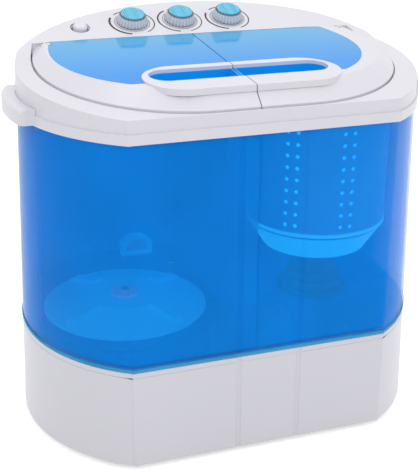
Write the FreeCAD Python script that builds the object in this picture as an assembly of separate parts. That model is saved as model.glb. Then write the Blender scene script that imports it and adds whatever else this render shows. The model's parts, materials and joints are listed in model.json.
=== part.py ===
"""Compact twin-tub washing machine: wash tub on the left, spin tub on the right.

Frame: millimetres, +Z up, front towards -Y, origin on the floor below the middle of the body.
Each sub-part is written to parts/NAME.step.
"""

import FreeCAD, Part

import math
import os

V = FreeCAD.Vector
UP = V(0, 0, 1)
ALONG_X = V(1, 0, 0)

# ---- Driving dimensions ----------------------------------------------------------------------

# Body outline: flat front and back between four creases, and a round end on each side.
FRONT_HALF = 169.6  # from the middle to a crease
HALF_DEPTH_LOW = 182.2  # at the bottom of the base
HALF_DEPTH_HIGH = 175.7  # at the top of the tub shell
END_BULGE_LOW = 105.2  # how far the round end reaches past the crease, at the bottom
END_BULGE_HIGH = 91.6
CREASE_STEP = 1.0  # the flat front and back stand this far proud of the round ends

# Heights of the stacked casings.
FOOT_HEIGHT = 8.0
BASE_HEIGHT = 132.0
SHELL_HEIGHT = 288.0
COLLAR_HEIGHT = 12.6

WALL = 2.5  # white casings
SHELL_WALL = 3.0  # blue tub moulding
COLLAR_PROUD = 3.5
COVER_PROUD = 1.5
GROOVE_PLACES = (-32.0, 50.0)
GROOVE_WIDTH = 9.0
GROOVE_DEPTH = 1.4
SEAM_DROP = 8.0
SEAM_DEPTH = 0.7

# Tubs.
TUB_FLOOR = 147.0
DIVIDER_X = -8.0
WASH_CENTRE_Y = -6.0
SPIN_CENTRE_Y = -20.0
BASKET_SIDE_GAP = 23.7

# Lids and top cover.
RIM_HEIGHT = 16.0  # top edge of the cover above the collar, at the front
COVER_SLOPE = 0.111
LID_SIDE_MARGIN = 25.0  # from the lids to the shell's top edge, at the ends
LID_FRONT_MARGIN = 3.7
LID_REAR = 83.0
LID_WAIST = 10.0  # where the lids are widest
LID_FRONT_FLAT = 60.0
LID_REAR_SWEEP = 210.0
LID_RISE = 2.8  # lid edge above the cover at the front
LID_SKIRT = 8.0
LID_SLOPE_RUN = 25.0
LID_SLOPE_RISE = 17.0
LID_GAP = 2.2
SPLIT_GAP = 1.4
POCKET_GAP = 0.3
TOP_HEIGHT = 56.4  # lid top above the collar, at the rear edge
TOP_SLOPE = 0.072
WINDOW_INSET = 31.8
WINDOW_SHIFT = -11.5
WINDOW_FRONT = 117.0
WINDOW_THICK = 2.0
HINGE_Y = 78.0
HINGE_DROP = 5.0  # below the lid top
HINGE_RADIUS = 7.1
HINGE_GAP = 0.6
ROD_RADIUS = 2.0
RUNNING_GAP = 0.05
LUG_INSET = 29.5  # from the lids' widest line
LUG_WIDTH = 6.0
LUG_RADIUS = 4.4

# Grip recess shared by the two lids.
RECESS_X = -7.0
RECESS_Y = -98.0
RECESS_HALF = 115.0
RECESS_RADIUS = 22.5
RECESS_DEPTH = 18.0
RIM_Y = -109.5
RIM_HALF = 125.5
RIM_RADIUS = 47.0
RIM_RISE = 2.0

# Control panel.
PANEL_SLOPE = 0.3575
PANEL_THICK = 2.5
PANEL_FRONT_HALF = FRONT_HALF - 19.6
PANEL_SIDE_HALF = FRONT_HALF + 6.4
PANEL_SIDE = 20.0
PANEL_DEPTH = 78.0
KNOB_XS = (-82.5, -14.3, 55.5)
KNOB_Y = 37.0  # along the slope from the panel's front edge
KNOB_RADIUS = 22.0
KNOB_HEIGHT = 13.0
CAP_RADIUS = 16.0
CAP_THICK = 2.5
KNOB_SHAFT = 3.0
INLET_X = 20.0 - PANEL_SIDE_HALF
INLET_Y = 31.0
INLET_BORE = 6.0
INLET_RADIUS = 8.0
INLET_WELL = 13.5

# Wash drive.
PULSATOR_GAP = 14.0  # to the tub wall and the divider
PULSATOR_DISC = 50.0
WASH_SHAFT = 5.0
DRIVEN_RADIUS = 52.0
MOTOR_PULLEY_RADIUS = 13.0
WASH_MOTOR_AT = (-34.0, 52.0)
WASH_MOTOR_RADIUS = 40.0
PULLEY_Z = 98.0
PULLEY_HEIGHT = 12.0

# Spin drive.
BASKET_RADIUS = 95.5
BASKET_FOOT_RADIUS = 72.0
BASKET_TOP_GAP = 2.0  # below the collar
BASKET_SHOULDER = 258.0
BASKET_BOTTOM = 218.0
BASKET_WALL = 2.2
BASKET_MOUTH = 76.0
HOLE_RADIUS = 2.6
HOLE_ROWS = 10
HOLE_MARGIN = 12.5
HOLE_GROUPS = 8
SPIN_SHAFT = 6.0
SPIN_MOTOR_RADIUS = 48.0
DRUM_RADIUS = 30.0

FASTENER_RADIUS = 2.0
FIT_GAP = 0.3

# ---- Derived heights -------------------------------------------------------------------------

BASE_TOP = FOOT_HEIGHT + BASE_HEIGHT
SHELL_TOP = BASE_TOP + SHELL_HEIGHT
COLLAR_TOP = SHELL_TOP + COLLAR_HEIGHT
RIM_FRONT_Z = COLLAR_TOP + RIM_HEIGHT
TOP_PLANE_Z = COLLAR_TOP + TOP_HEIGHT
HINGE_Z = TOP_PLANE_Z - HINGE_DROP
LID_EDGE_Z = RIM_FRONT_Z + LID_RISE
LID_HALF = FRONT_HALF + END_BULGE_HIGH - LID_SIDE_MARGIN
LID_FRONT = HALF_DEPTH_HIGH - LID_FRONT_MARGIN
LUG_X = LID_HALF - LUG_INSET
BASKET_TOP = SHELL_TOP - BASKET_TOP_GAP
TUB_END = FRONT_HALF + END_BULGE_HIGH - SHELL_WALL
WASH_SPAN = TUB_END + DIVIDER_X - SHELL_WALL / 2
PULSATOR_RADIUS = WASH_SPAN / 2 - PULSATOR_GAP
WASH_CENTRE = (WASH_SPAN / 2 - TUB_END, WASH_CENTRE_Y)
SPIN_CENTRE = (TUB_END - BASKET_SIDE_GAP - BASKET_RADIUS, SPIN_CENTRE_Y)
TILT = math.degrees(math.atan(COVER_SLOPE))
TOP_TILT = math.degrees(math.atan(TOP_SLOPE))
PANEL_TILT = math.degrees(math.atan(PANEL_SLOPE))
POCKET_DEPTH = LID_SKIRT + POCKET_GAP
PANEL_EDGE_Y = LID_REAR + HINGE_GAP
PANEL_EDGE_Z = TOP_PLANE_Z + PANEL_SLOPE * HINGE_GAP
TALL = PANEL_EDGE_Z + HALF_DEPTH_LOW
FAR = 2 * TALL


# ---- Plain helpers ---------------------------------------------------------------------------


def box(x0, x1, y0, y1, z0, z1):
    return Part.makeBox(x1 - x0, y1 - y0, z1 - z0, V(x0, y0, z0))


def cylinder(x, y, z0, z1, radius):
    return Part.makeCylinder(radius, z1 - z0, V(x, y, z0), UP)


def tube(x, y, z0, z1, outer, inner):
    return cylinder(x, y, z0, z1, outer).cut(cylinder(x, y, z0, z1, inner))


def rod_along_x(x0, x1, y, z, radius):
    return Part.makeCylinder(radius, x1 - x0, V(x0, y, z), ALONG_X)


def rod_along_y(x, y0, y1, z, radius):
    return Part.makeCylinder(radius, y1 - y0, V(x, y0, z), V(0, 1, 0))


def turned(x, y, profile):
    """A solid turned about the vertical line through x, y from (radius, height) points."""
    points = [V(x + r, y, z) for r, z in profile]
    face = Part.Face(Part.makePolygon(points + points[:1]))
    return face.revolve(V(x, y, 0), UP, 360)


def under_plane(point, normal):
    """Everything within reach below a plane through the point."""
    slab = Part.makeBox(2 * FAR, 2 * FAR, FAR, V(-FAR, -FAR, -FAR))
    slab.Placement = FreeCAD.Placement(V(*point), FreeCAD.Rotation(UP, V(*normal)))
    return slab


def under_slope(y, z, slope, drop=0.0):
    return under_plane((0, y, z - drop), (0, -slope, 1))


def united(shapes):
    first, *rest = shapes
    return first.fuse(rest).removeSplitter() if rest else first


def stadium(centre_x, centre_y, half_length, radius, z0, z1):
    """A vertical prism with straight sides along X and round ends."""
    run = half_length - radius
    middle = box(centre_x - run, centre_x + run, centre_y - radius, centre_y + radius, z0, z1)
    ends = [cylinder(centre_x + s * run, centre_y, z0, z1, radius) for s in (-1, 1)]
    return united([middle] + ends)


# ---- Body outline ----------------------------------------------------------------------------


def body_size(z):
    """Half depth and end bulge of the body at a height; it narrows evenly upwards."""
    t = (z - FOOT_HEIGHT) / (SHELL_TOP - FOOT_HEIGHT)
    half_depth = HALF_DEPTH_LOW + t * (HALF_DEPTH_HIGH - HALF_DEPTH_LOW)
    bulge = END_BULGE_LOW + t * (END_BULGE_HIGH - END_BULGE_LOW)
    return half_depth, bulge


def body_wire(z, proud):
    half_depth, bulge = body_size(z)
    radius = (half_depth**2 + bulge**2) / (2 * bulge)
    arc_x = FRONT_HALF + bulge - radius
    flat = half_depth + proud
    arc_radius = radius + proud
    corner = flat - CREASE_STEP
    crease = arc_x + math.sqrt(arc_radius**2 - corner**2)
    edges = []
    for side in (1, -1):
        start = V(side * crease, -side * corner, z)
        middle = V(side * (arc_x + arc_radius), 0, z)
        end = V(side * crease, side * corner, z)
        edges.append(Part.Arc(start, middle, end).toShape())
        outer_end = V(side * crease, side * flat, z)
        next_start = V(-side * crease, side * flat, z)
        edges.append(Part.makeLine(end, outer_end))
        edges.append(Part.makeLine(outer_end, next_start))
        edges.append(Part.makeLine(next_start, V(-side * crease, side * corner, z)))
    return Part.Wire(edges)


def body_solid(z0, z1, proud=0.0):
    """The body between two heights, cut from one tall form so that casings match exactly."""
    tall = Part.makeLoft([body_wire(0, proud), body_wire(TALL, proud)], True, True)
    return tall.common(box(-FAR, FAR, -FAR, FAR, z0, z1))


def body_ring(z0, z1, outer, inner):
    return body_solid(z0, z1, outer).cut(body_solid(z0 - 1, z1 + 1, inner))


def front_groove(x, z0, z1, proud=0.0):
    """The cutter for a shallow upright groove in the leaning front."""
    wires = []
    for z in (z0, z1):
        face_y = -(body_size(z)[0] + proud)
        points = (
            V(x - GROOVE_WIDTH / 2, face_y - 1, z),
            V(x + GROOVE_WIDTH / 2, face_y - 1, z),
            V(x + GROOVE_WIDTH / 4, face_y + GROOVE_DEPTH, z),
            V(x - GROOVE_WIDTH / 4, face_y + GROOVE_DEPTH, z),
        )
        wires.append(Part.makePolygon(points + points[:1]))
    return Part.makeLoft(wires, True, True)


# ---- Base ------------------------------------------------------------------------------------

FOOT_X = FRONT_HALF + 12.4
FOOT_Y = HALF_DEPTH_LOW - 36.0
FOOT_PLACES = [(x, y) for x in (-FOOT_X, FOOT_X) for y in (-FOOT_Y, FOOT_Y)]
FOOT_RADIUS = 14.0
PLATE_THICK = 3.0
PLATE_TOP = FOOT_HEIGHT + PLATE_THICK
DECK_WIDTH = 14.0
DRAIN_X = 20.0
DRAIN_Z = 112.0
DRAIN_RADIUS = 10.0
DRAIN_REACH = 20.0
DRAIN_SHOULDER = 3.0
GLAND_X = 150.0
GLAND_Z = 60.0
GLAND_RADIUS = 8.0


def rear_wall_y(z):
    return body_size(z)[0]


def base_housing():
    shell = body_ring(FOOT_HEIGHT, BASE_TOP, 0.0, -WALL)
    deck = body_ring(BASE_TOP - WALL, BASE_TOP, -WALL, -DECK_WIDTH)
    seam_z = BASE_TOP - SEAM_DROP
    seam = body_ring(seam_z, seam_z + 1.0, 2.0, -SEAM_DEPTH)
    grooves = [front_groove(x, FOOT_HEIGHT - 1, BASE_TOP + 1) for x in GROOVE_PLACES]
    wall_y = rear_wall_y(DRAIN_Z)
    spigot_radius = DRAIN_RADIUS + DRAIN_SHOULDER
    spigot_hole = rod_along_y(DRAIN_X, wall_y - 20, wall_y + 20, DRAIN_Z, spigot_radius)
    gland_hole = rod_along_y(GLAND_X, wall_y - 20, wall_y + 20, GLAND_Z, GLAND_RADIUS)
    return united([shell, deck]).cut([seam, spigot_hole, gland_hole] + grooves)


def bottom_plate():
    plate = body_solid(FOOT_HEIGHT, PLATE_TOP, -WALL)
    bosses = []
    holes = []
    for x, y in FOOT_PLACES:
        bosses.append(cylinder(x, y, PLATE_TOP - 1, PLATE_TOP + BOSS_HEIGHT, BOSS_RADIUS))
        holes.append(cylinder(x, y, 0, SCREW_LENGTH, FASTENER_RADIUS))
    for x, y in bracket_screw_places():
        bosses.append(cylinder(x, y, PLATE_TOP - 1, PLATE_TOP + BOSS_HEIGHT, BOSS_RADIUS))
        holes.append(cylinder(x, y, PLATE_TOP - 1, PLATE_TOP + BOSS_HEIGHT + 1, FASTENER_RADIUS))
    return united([plate] + bosses).cut(holes)


BOSS_HEIGHT = 9.0
BOSS_RADIUS = 6.0
SCREW_LENGTH = 14.0
SCREW_HEAD = 4.0
SCREW_HEAD_HEIGHT = 2.5
BRACKET_THICK = 3.0
BRACKET_Z = PLATE_TOP + BOSS_HEIGHT
BRACKET_REACH = 34.0


def bracket_screw_places():
    x, y = WASH_MOTOR_AT
    return [(x + a * BRACKET_REACH, y + b * BRACKET_REACH) for a in (-1, 1) for b in (-1, 1)]


def feet():
    solids = []
    for x, y in FOOT_PLACES:
        profile = [(FASTENER_RADIUS, SCREW_HEAD_HEIGHT + 1), (FASTENER_RADIUS, FOOT_HEIGHT)]
        profile += [(FOOT_RADIUS, FOOT_HEIGHT), (FOOT_RADIUS, 5.0), (FOOT_RADIUS - 2, 0.0)]
        profile += [(SCREW_HEAD + 1, 0.0), (SCREW_HEAD + 1, SCREW_HEAD_HEIGHT + 1)]
        solids.append(turned(x, y, profile))
    return Part.makeCompound(solids)


def screw_upright(x, y, head_z, points_up):
    """A pan-head screw whose head seats at head_z."""
    way = 1 if points_up else -1
    shank = Part.makeCylinder(FASTENER_RADIUS, SCREW_LENGTH - 4, V(x, y, head_z), UP * way)
    head = Part.makeCylinder(SCREW_HEAD, SCREW_HEAD_HEIGHT, V(x, y, head_z), UP * -way)
    slot = box(x - SCREW_HEAD, x + SCREW_HEAD, y - 0.5, y + 0.5, -0.8, 0.8)
    slot.translate(V(0, 0, head_z - way * SCREW_HEAD_HEIGHT))
    return shank.fuse(head).cut(slot)


def base_screws():
    solids = [screw_upright(x, y, SCREW_HEAD_HEIGHT + 1, True) for x, y in FOOT_PLACES]
    for x, y in bracket_screw_places():
        solids.append(screw_upright(x, y, BRACKET_Z + BRACKET_THICK, False))
    return Part.makeCompound(solids)


# ---- Tub shell and collar --------------------------------------------------------------------

FLANGE_HEIGHT = 4.6
FLANGE_PROUD = 1.2
DRAIN_HOLE = 7.0
DRAIN_Y = 118.0
WASH_DRAIN_X = -30.0
SPIN_DRAIN_X = 60.0
SEAL_BORE = 14.0
BOOT_BORE = 40.0
BAND_SCREW_XS = [share * (FRONT_HALF - 25) for share in (-1, -0.3, 0.3, 1)]
BAND_SCREW_Z = COLLAR_TOP + 7.0
RIB_THICK = 2.6
RIB_TOP = COLLAR_TOP + 13.0
RIB_PROUD = COVER_PROUD - WALL - FIT_GAP
HANDLE_HALF = 66.0
HANDLE_REACH = 19.0
HANDLE_WALL = 4.0
HANDLE_RISE = 20.0
HANDLE_DROP = 1.0
HANDLE_ROUND = 7.0


def tub_shell():
    wall = body_solid(BASE_TOP, SHELL_TOP)
    flange = body_solid(BASE_TOP, BASE_TOP + FLANGE_HEIGHT, FLANGE_PROUD)
    half = SHELL_WALL / 2
    divider = box(DIVIDER_X - half, DIVIDER_X + half, -FAR, FAR, 0, FAR)
    tubs = body_solid(TUB_FLOOR, SHELL_TOP + 1, -SHELL_WALL).cut(divider)
    below = body_solid(BASE_TOP - 1, TUB_FLOOR - SHELL_WALL, -SHELL_WALL)
    holes = [
        cylinder(*WASH_CENTRE, TUB_FLOOR - 9, TUB_FLOOR + 9, SEAL_BORE),
        cylinder(*SPIN_CENTRE, TUB_FLOOR - 9, TUB_FLOOR + 9, BOOT_BORE),
        cylinder(WASH_DRAIN_X, DRAIN_Y, TUB_FLOOR - 9, TUB_FLOOR + 9, DRAIN_HOLE),
        cylinder(SPIN_DRAIN_X, DRAIN_Y, TUB_FLOOR - 9, TUB_FLOOR + 9, DRAIN_HOLE),
    ]
    grooves = [
        front_groove(x, BASE_TOP + FLANGE_HEIGHT, SHELL_TOP + 1) for x in GROOVE_PLACES
    ]
    return united([wall, flange]).cut([tubs, below] + holes + grooves)


def side_handle(side):
    """An inverted-U grip lip that follows the round end, open below for the fingers."""
    z0, z1 = SHELL_TOP + HANDLE_DROP, SHELL_TOP + HANDLE_RISE
    outer = body_solid(z0, z1, HANDLE_REACH)
    inner = body_solid(z0 - 1, z1 - HANDLE_WALL, HANDLE_REACH - HANDLE_WALL)
    body = body_solid(z0 - 1, z1 + 1, COVER_PROUD + FIT_GAP)
    reach = box(0, FAR, -HANDLE_HALF, HANDLE_HALF, 0, FAR)
    pocket_half = HANDLE_HALF - HANDLE_WALL
    pocket = inner.common(box(0, FAR, -pocket_half, pocket_half, 0, FAR))
    lip = outer.common(reach)
    lip = lip.makeFillet(HANDLE_ROUND, handle_edges(lip, z1))
    grip = lip.cut([pocket, body])
    if side < 0:
        grip = grip.mirror(V(0, 0, 0), ALONG_X)
    return grip


def handle_edges(lip, top):
    """The lip's long top edge and its two upright outer corners."""
    far = FRONT_HALF + END_BULGE_HIGH
    found = []
    for edge in lip.Edges:
        box_of_edge = edge.BoundBox
        outer = box_of_edge.XMin > far
        upright = box_of_edge.ZLength > HANDLE_RISE / 2
        if outer and (upright or box_of_edge.ZMin > top - 0.1):
            found.append(edge)
    return found


def collar_band():
    band = body_ring(SHELL_TOP, COLLAR_TOP, COLLAR_PROUD, -SHELL_WALL)
    rib = body_ring(COLLAR_TOP - 1, RIB_TOP, RIB_PROUD, RIB_PROUD - RIB_THICK)
    rib = rib.cut(pocket(LID_GAP + WALL + FIT_GAP, POCKET_DEPTH + SHELF_THICK + FIT_GAP))
    solid = united([band, rib, side_handle(1), side_handle(-1)])
    return solid.cut(band_screw_holes())


def band_screw_holes():
    wall_y = rear_wall_y(BAND_SCREW_Z)
    radius = FASTENER_RADIUS
    return [rod_along_y(x, wall_y - 9, wall_y + 9, BAND_SCREW_Z, radius) for x in BAND_SCREW_XS]


def cover_screws():
    face_y = rear_wall_y(BAND_SCREW_Z) + COVER_PROUD
    solids = []
    for x in BAND_SCREW_XS:
        shank = rod_along_y(x, face_y - 9, face_y, BAND_SCREW_Z, FASTENER_RADIUS)
        head = rod_along_y(x, face_y + 0.05, face_y + SCREW_HEAD_HEIGHT, BAND_SCREW_Z, SCREW_HEAD)
        neck = rod_along_y(x, face_y, face_y + 1, BAND_SCREW_Z, FASTENER_RADIUS)
        slot_y = face_y + SCREW_HEAD_HEIGHT
        slot = box(x - 5, x + 5, slot_y - 0.8, slot_y + 1, BAND_SCREW_Z - 0.5, BAND_SCREW_Z + 0.5)
        solids.append(united([shank, neck, head]).cut(slot))
    return Part.makeCompound(solids)


# ---- Lid outline -----------------------------------------------------------------------------


def ellipse_quarter(centre, a, b, start, end):
    """An arc of an ellipse, from start to end degrees, at height 0."""
    arc = Part.makeCircle(1, V(0, 0, 0), UP, start, end)
    stretch = FreeCAD.Matrix()
    stretch.scale(V(a, b, 1))
    arc = arc.transformGeometry(stretch)
    arc.translate(V(centre[0], centre[1], 0))
    return arc.Edges[0]


def lid_wire(z, inset, shift=0.0):
    """The lids' common outline, left open to the rear past the hinge, at a height."""
    a = LID_HALF - LID_FRONT_FLAT - inset
    b = LID_FRONT + LID_WAIST - inset
    rear = LID_REAR_SWEEP - inset
    reach = 40.0  # degrees past the waist, beyond the hinge line
    front = -LID_FRONT + inset
    edges = [Part.makeLine(V(-LID_FRONT_FLAT, front, 0), V(LID_FRONT_FLAT, front, 0))]
    right = (LID_FRONT_FLAT, LID_WAIST)
    left = (-LID_FRONT_FLAT, LID_WAIST)
    edges.append(ellipse_quarter(right, a, b, 270, 360))
    edges.append(ellipse_quarter(right, a, rear, 0, reach))
    back_x = LID_FRONT_FLAT + a * math.cos(math.radians(reach))
    back_y = LID_WAIST + rear * math.sin(math.radians(reach))
    edges.append(Part.makeLine(V(back_x, back_y, 0), V(-back_x, back_y, 0)))
    edges.append(ellipse_quarter(left, a, rear, 180 - reach, 180))
    edges.append(ellipse_quarter(left, a, b, 180, 270))
    wire = Part.Wire(Part.sortEdges(edges)[0])
    wire.translate(V(shift, 0, z))
    return wire


def lid_prism(z0, z1, inset, shift=0.0):
    return Part.Face(lid_wire(z0, inset, shift)).extrude(V(0, 0, z1 - z0))


def on_lid_plane(shape):
    """Moves a shape drawn about height 0 onto the sloping plane of the lids' edge."""
    placed = shape.copy()
    placed.translate(V(0, 0, LID_EDGE_Z))
    placed.rotate(V(0, -LID_FRONT, LID_EDGE_Z), ALONG_X, TILT)
    return placed


def hinge_round(radius):
    """Everything ahead of the hinge line, with a round end about it."""
    ahead = box(-FAR, FAR, -FAR, HINGE_Y, 0, FAR)
    return ahead.fuse(rod_along_x(-FAR, FAR, HINGE_Y, HINGE_Z, radius))


def lid_block(inset, drop):
    """Both lids as one solid block, before they are hollowed and parted."""
    skirt = lid_prism(-LID_SKIRT - drop, -drop, inset)
    rise = 2 * LID_SLOPE_RISE
    low = lid_wire(0, inset)
    high = lid_wire(rise, inset + 2 * LID_SLOPE_RUN)
    slope = Part.makeLoft([low, high], True, True)
    slope.translate(V(0, 0, -drop))
    block = on_lid_plane(skirt.fuse(slope))
    return block.common(under_slope(LID_REAR, TOP_PLANE_Z, TOP_SLOPE, drop))


def recess_prism(radius, half, y, z0, z1):
    return stadium(RECESS_X, y, half, radius, z0, z1)


def window_region():
    prism = lid_prism(TOP_PLANE_Z - 60, TOP_PLANE_Z + 60, WINDOW_INSET, WINDOW_SHIFT)
    return prism.common(box(-FAR, FAR, -WINDOW_FRONT, LID_REAR + 9, 0, FAR))


def half_of_lid(side):
    """The space of one lid: side -1 is the wash lid and side 1 the spin lid."""
    edge = DIVIDER_X + side * SPLIT_GAP / 2
    return box(-FAR, edge, -FAR, FAR, 0, FAR) if side < 0 else box(edge, FAR, -FAR, FAR, 0, FAR)


FRAME_THICK = 2.5
TRAY_WALL = 2.0
TRAY_FLOOR_Z = TOP_PLANE_Z - TOP_SLOPE * (LID_REAR - RECESS_Y) - RECESS_DEPTH
WINDOW_LEDGE = 9.0
BROW_DEPTH = 6.0


def lug_notches():
    """The gaps in the lids' rear edge that clear the hinge lugs."""
    half = LUG_WIDTH / 2 + 0.5
    middles = (-LUG_X, LUG_X)
    return [box(x - half, x + half, HINGE_Y - 9, FAR, 0, FAR) for x in middles]


def lid_frames():
    """The white frames of both lids as one shape, to be parted at the split."""
    under_top = under_slope(LID_REAR, TOP_PLANE_Z, TOP_SLOPE)
    outer = lid_block(0.0, 0.0).common(hinge_round(HINGE_RADIUS))
    hollow = lid_block(FRAME_THICK, FRAME_THICK).common(box(-FAR, FAR, -FAR, HINGE_Y - 9, 0, FAR))
    shell = outer.cut(hollow)
    rim_top = under_slope(LID_REAR, TOP_PLANE_Z + RIM_RISE, TOP_SLOPE)
    rim_prism = recess_prism(RIM_RADIUS, RIM_HALF, RIM_Y, SHELL_TOP, TALL)
    rim = rim_prism.common(rim_top).cut(under_top)
    brow = rim_prism.common(box(-FAR, FAR, -FAR, RECESS_Y - RECESS_RADIUS - 9, 0, FAR))
    brow = brow.common(rim_top).cut(under_slope(LID_REAR, TOP_PLANE_Z - BROW_DEPTH, TOP_SLOPE))
    seat = recess_prism(RIM_RADIUS, RIM_HALF, RIM_Y, SHELL_TOP, TALL).common(under_top)
    seat = seat.cut(under_slope(LID_REAR, TOP_PLANE_Z - FRAME_THICK, TOP_SLOPE)).common(outer)
    shell = united([shell, rim, seat, brow])
    well = recess_prism(RECESS_RADIUS, RECESS_HALF, RECESS_Y, SHELL_TOP, TALL)
    open_rim = recess_prism(RIM_RADIUS, RIM_HALF, RIM_Y, SHELL_TOP, TALL)
    rebate = window_region().cut(open_rim).cut(
        under_slope(LID_REAR, TOP_PLANE_Z - WINDOW_THICK, TOP_SLOPE)
    )
    light = lid_prism(SHELL_TOP, TALL, WINDOW_INSET + WINDOW_LEDGE, WINDOW_SHIFT)
    light = light.common(box(-FAR, FAR, RIM_Y, HINGE_Y - 9, 0, FAR))
    light = light.cut(recess_prism(RIM_RADIUS, RIM_HALF, RIM_Y, SHELL_TOP, TALL))
    bar_of_split = box(DIVIDER_X - 6, DIVIDER_X + 6, -FAR, FAR, 0, FAR)
    light = light.cut(bar_of_split)
    bore = rod_along_x(-FAR, FAR, HINGE_Y, HINGE_Z, ROD_RADIUS + RUNNING_GAP)
    return shell.cut([rebate, light, well, bore] + lug_notches())


def lid_frame(frames, side):
    solid = frames.common(half_of_lid(side))
    return max(solid.Solids, key=lambda s: s.Volume)


def lid_windows():
    """The blue panes, flush with the top of the frames and clear of the raised rim."""
    top = under_slope(LID_REAR, TOP_PLANE_Z, TOP_SLOPE)
    pane = window_region().common(top).cut(
        under_slope(LID_REAR, TOP_PLANE_Z - WINDOW_THICK, TOP_SLOPE)
    )
    pane = pane.common(hinge_round(HINGE_RADIUS)).cut(lug_notches())
    return pane.cut(recess_prism(RIM_RADIUS, RIM_HALF, RIM_Y, SHELL_TOP, TALL))


def window_of(panes, side):
    solid = panes.common(half_of_lid(side))
    return max(solid.Solids, key=lambda s: s.Volume)


def lid_trays():
    """The blue grip basins, hung from a flange below the white rim."""
    top_drop = FRAME_THICK
    top = under_slope(LID_REAR, TOP_PLANE_Z, TOP_SLOPE, top_drop)
    low = TRAY_FLOOR_Z - TRAY_WALL
    flange = recess_prism(RECESS_RADIUS + 7, RECESS_HALF + 7, RECESS_Y, SHELL_TOP, TALL).common(top)
    flange = flange.cut(under_slope(LID_REAR, TOP_PLANE_Z, TOP_SLOPE, top_drop + TRAY_WALL))
    basin = recess_prism(RECESS_RADIUS + TRAY_WALL, RECESS_HALF + TRAY_WALL, RECESS_Y, low, TALL)
    basin = basin.common(top)
    hollow = recess_prism(RECESS_RADIUS, RECESS_HALF, RECESS_Y, TRAY_FLOOR_Z, TALL)
    end_wall = box(DIVIDER_X - 3, DIVIDER_X + 3, RECESS_Y - 40, RECESS_Y + 40, low, TALL)
    end_wall = end_wall.common(basin)
    return united([flange, basin]).cut(hollow).fuse(end_wall).removeSplitter()


def hinge_rod():
    reach = LUG_X + LUG_WIDTH / 2
    return rod_along_x(-reach, reach, HINGE_Y, HINGE_Z, ROD_RADIUS)


# ---- Top cover and control panel -------------------------------------------------------------

SHELF_THICK = 2.5
WASH_MOUTH_INSET = 16.0
BRIDGE_HALF = 9.0
FACET_POINTS = ((2.4, 95.0), (37.4, 119.0), (65.4, 60.0))  # past the crease, and in depth
FACET_DROP = 11.5
SHOULDER_CENTRE_Y = 20.0
SHOULDER_DEPTH = 146.0
SHOULDER_HALF = FRONT_HALF + 60.4
SHOULDER_FALL = 0.8  # how far it spreads for each step down
SWITCH_FLOOR_Z = COLLAR_TOP + 1.0
SWITCH_SPACE_Y = 92.0


def panel_height(y):
    return TOP_PLANE_Z + PANEL_SLOPE * (y - LID_REAR)


def facet(side, drop):
    """The end facet of the control hump, falling away from the panel's rear corner."""
    (x0, y0), (x1, y1), (x2, y2) = FACET_POINTS
    p0 = V(side * (FRONT_HALF + x0), y0, panel_height(y0) - drop)
    p1 = V(side * (FRONT_HALF + x1), y1, panel_height(y1) - drop)
    p2 = V(side * (FRONT_HALF + x2), y2, TOP_PLANE_Z - FACET_DROP - drop)
    normal = (p1 - p0).cross(p2 - p0)
    if normal.z < 0:
        normal = normal * -1
    return under_plane(tuple(p0), tuple(normal))


def shoulder(drop):
    """The rounded rear of the control hump, spreading as it falls to the back wall."""
    crest_y = SHOULDER_CENTRE_Y + SHOULDER_DEPTH
    crest_z = panel_height(crest_y) - 1.3 * drop
    rings = []
    for fall in (-30.0, 120.0):
        spread = fall * SHOULDER_FALL
        centre = V(0, SHOULDER_CENTRE_Y, crest_z - fall)
        ring = Part.Ellipse(centre, SHOULDER_HALF + spread, SHOULDER_DEPTH + spread)
        rings.append(Part.Wire([ring.toShape()]))
    return Part.makeLoft(rings, True, True)


def roofed(proud, drop):
    """The cover's outer form: a sloping rim in front and the control hump behind."""
    prism = body_solid(COLLAR_TOP, COLLAR_TOP + 110, proud)
    front_y = -body_size(RIM_FRONT_Z)[0]
    low = prism.common(under_slope(front_y, RIM_FRONT_Z, COVER_SLOPE, drop))
    hump = prism.common(under_slope(LID_REAR, TOP_PLANE_Z, PANEL_SLOPE, drop))
    hump = hump.common(facet(1, drop)).common(facet(-1, drop))
    hump = hump.common(shoulder(drop))
    return low.fuse(hump).removeSplitter()


def pocket(gap, depth):
    """The hollow that the lids lie in, open to the top."""
    prism = on_lid_plane(lid_prism(-depth, 90, -gap))
    return prism


def on_panel(shape, x=0.0, along=0.0):
    """Moves a shape drawn at the origin onto the control panel's slope."""
    placed = shape.copy()
    placed.rotate(V(0, 0, 0), ALONG_X, PANEL_TILT)
    rise = math.radians(PANEL_TILT)
    y = PANEL_EDGE_Y + along * math.cos(rise)
    z = PANEL_EDGE_Z + along * math.sin(rise)
    placed.translate(V(x, y, z))
    return placed


def panel_prism(inset, z0, z1):
    """The control panel's outline: straight in front, slanting sides, an arched rear."""
    front = 1.0 + inset
    points = (
        V(-PANEL_SIDE_HALF + inset, PANEL_SIDE, z0),
        V(-PANEL_FRONT_HALF + inset, front, z0),
        V(PANEL_FRONT_HALF - inset, front, z0),
        V(PANEL_SIDE_HALF - inset, PANEL_SIDE, z0),
    )
    edges = [Part.makeLine(p, q) for p, q in zip(points, points[1:])]
    crown = V(0, PANEL_DEPTH - inset, z0)
    edges.append(Part.Arc(points[3], crown, points[0]).toShape())
    return Part.Face(Part.Wire(edges)).extrude(V(0, 0, z1 - z0))


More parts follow.
